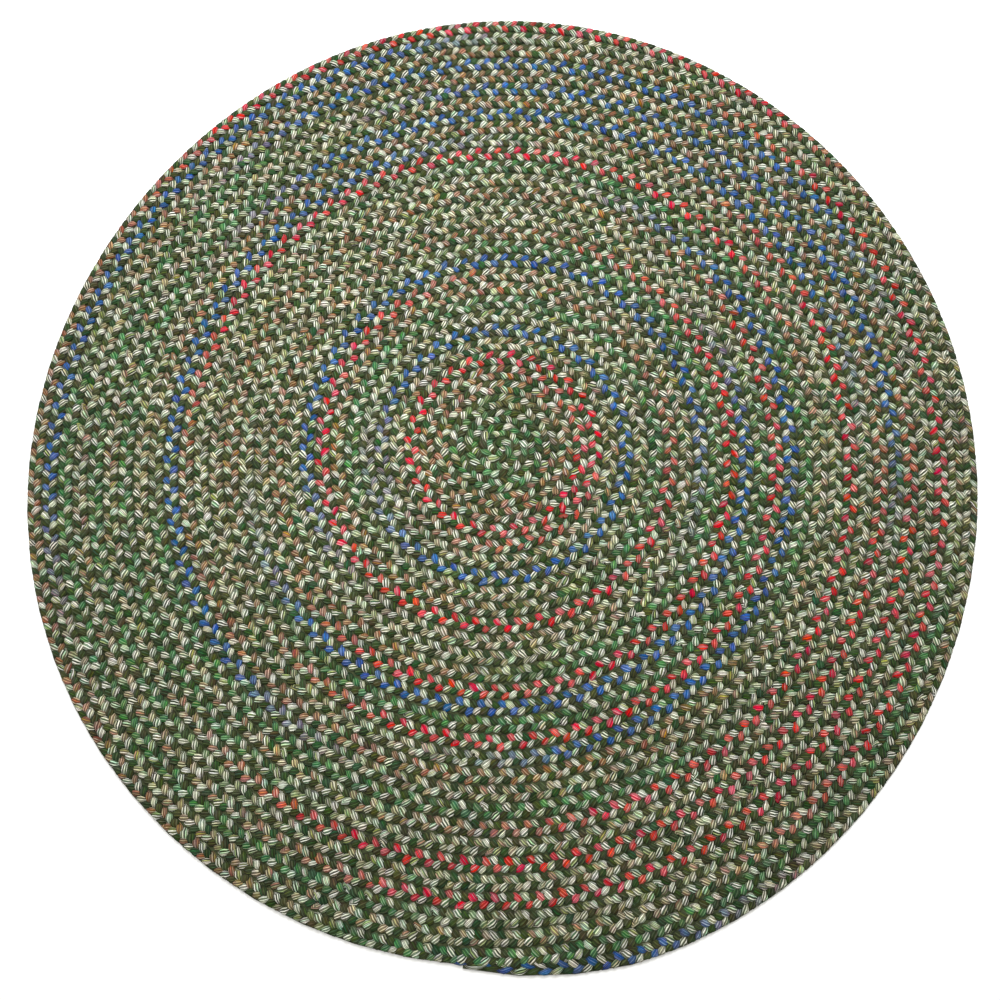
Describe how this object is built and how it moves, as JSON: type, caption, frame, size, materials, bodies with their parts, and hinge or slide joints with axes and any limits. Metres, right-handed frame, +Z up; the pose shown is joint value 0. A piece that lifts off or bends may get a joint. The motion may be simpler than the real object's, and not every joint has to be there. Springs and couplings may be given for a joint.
{
  "type": "braided rug",
  "caption": "Round rug made of one flat three-strand braid, coiled outwards from the middle and laced row to row, with a tapered end at the rim.",
  "frame": {"origin": "middle of the coil, on the flat underside, at the middle of the face that lies on the floor", "axes": "+Z up out of the face, +X and +Y in the plane of the floor; the end of the braid is at the rim on the -Y side, and the coil runs clockwise from the middle, seen from above"},
  "size_m": [1.8153, 1.8551, 0.011],
  "materials": {
    "yarn": "matte"
  },
  "bodies": {
    "root": {"braided_coil": "yarn"}
  },
  "joints": []
}
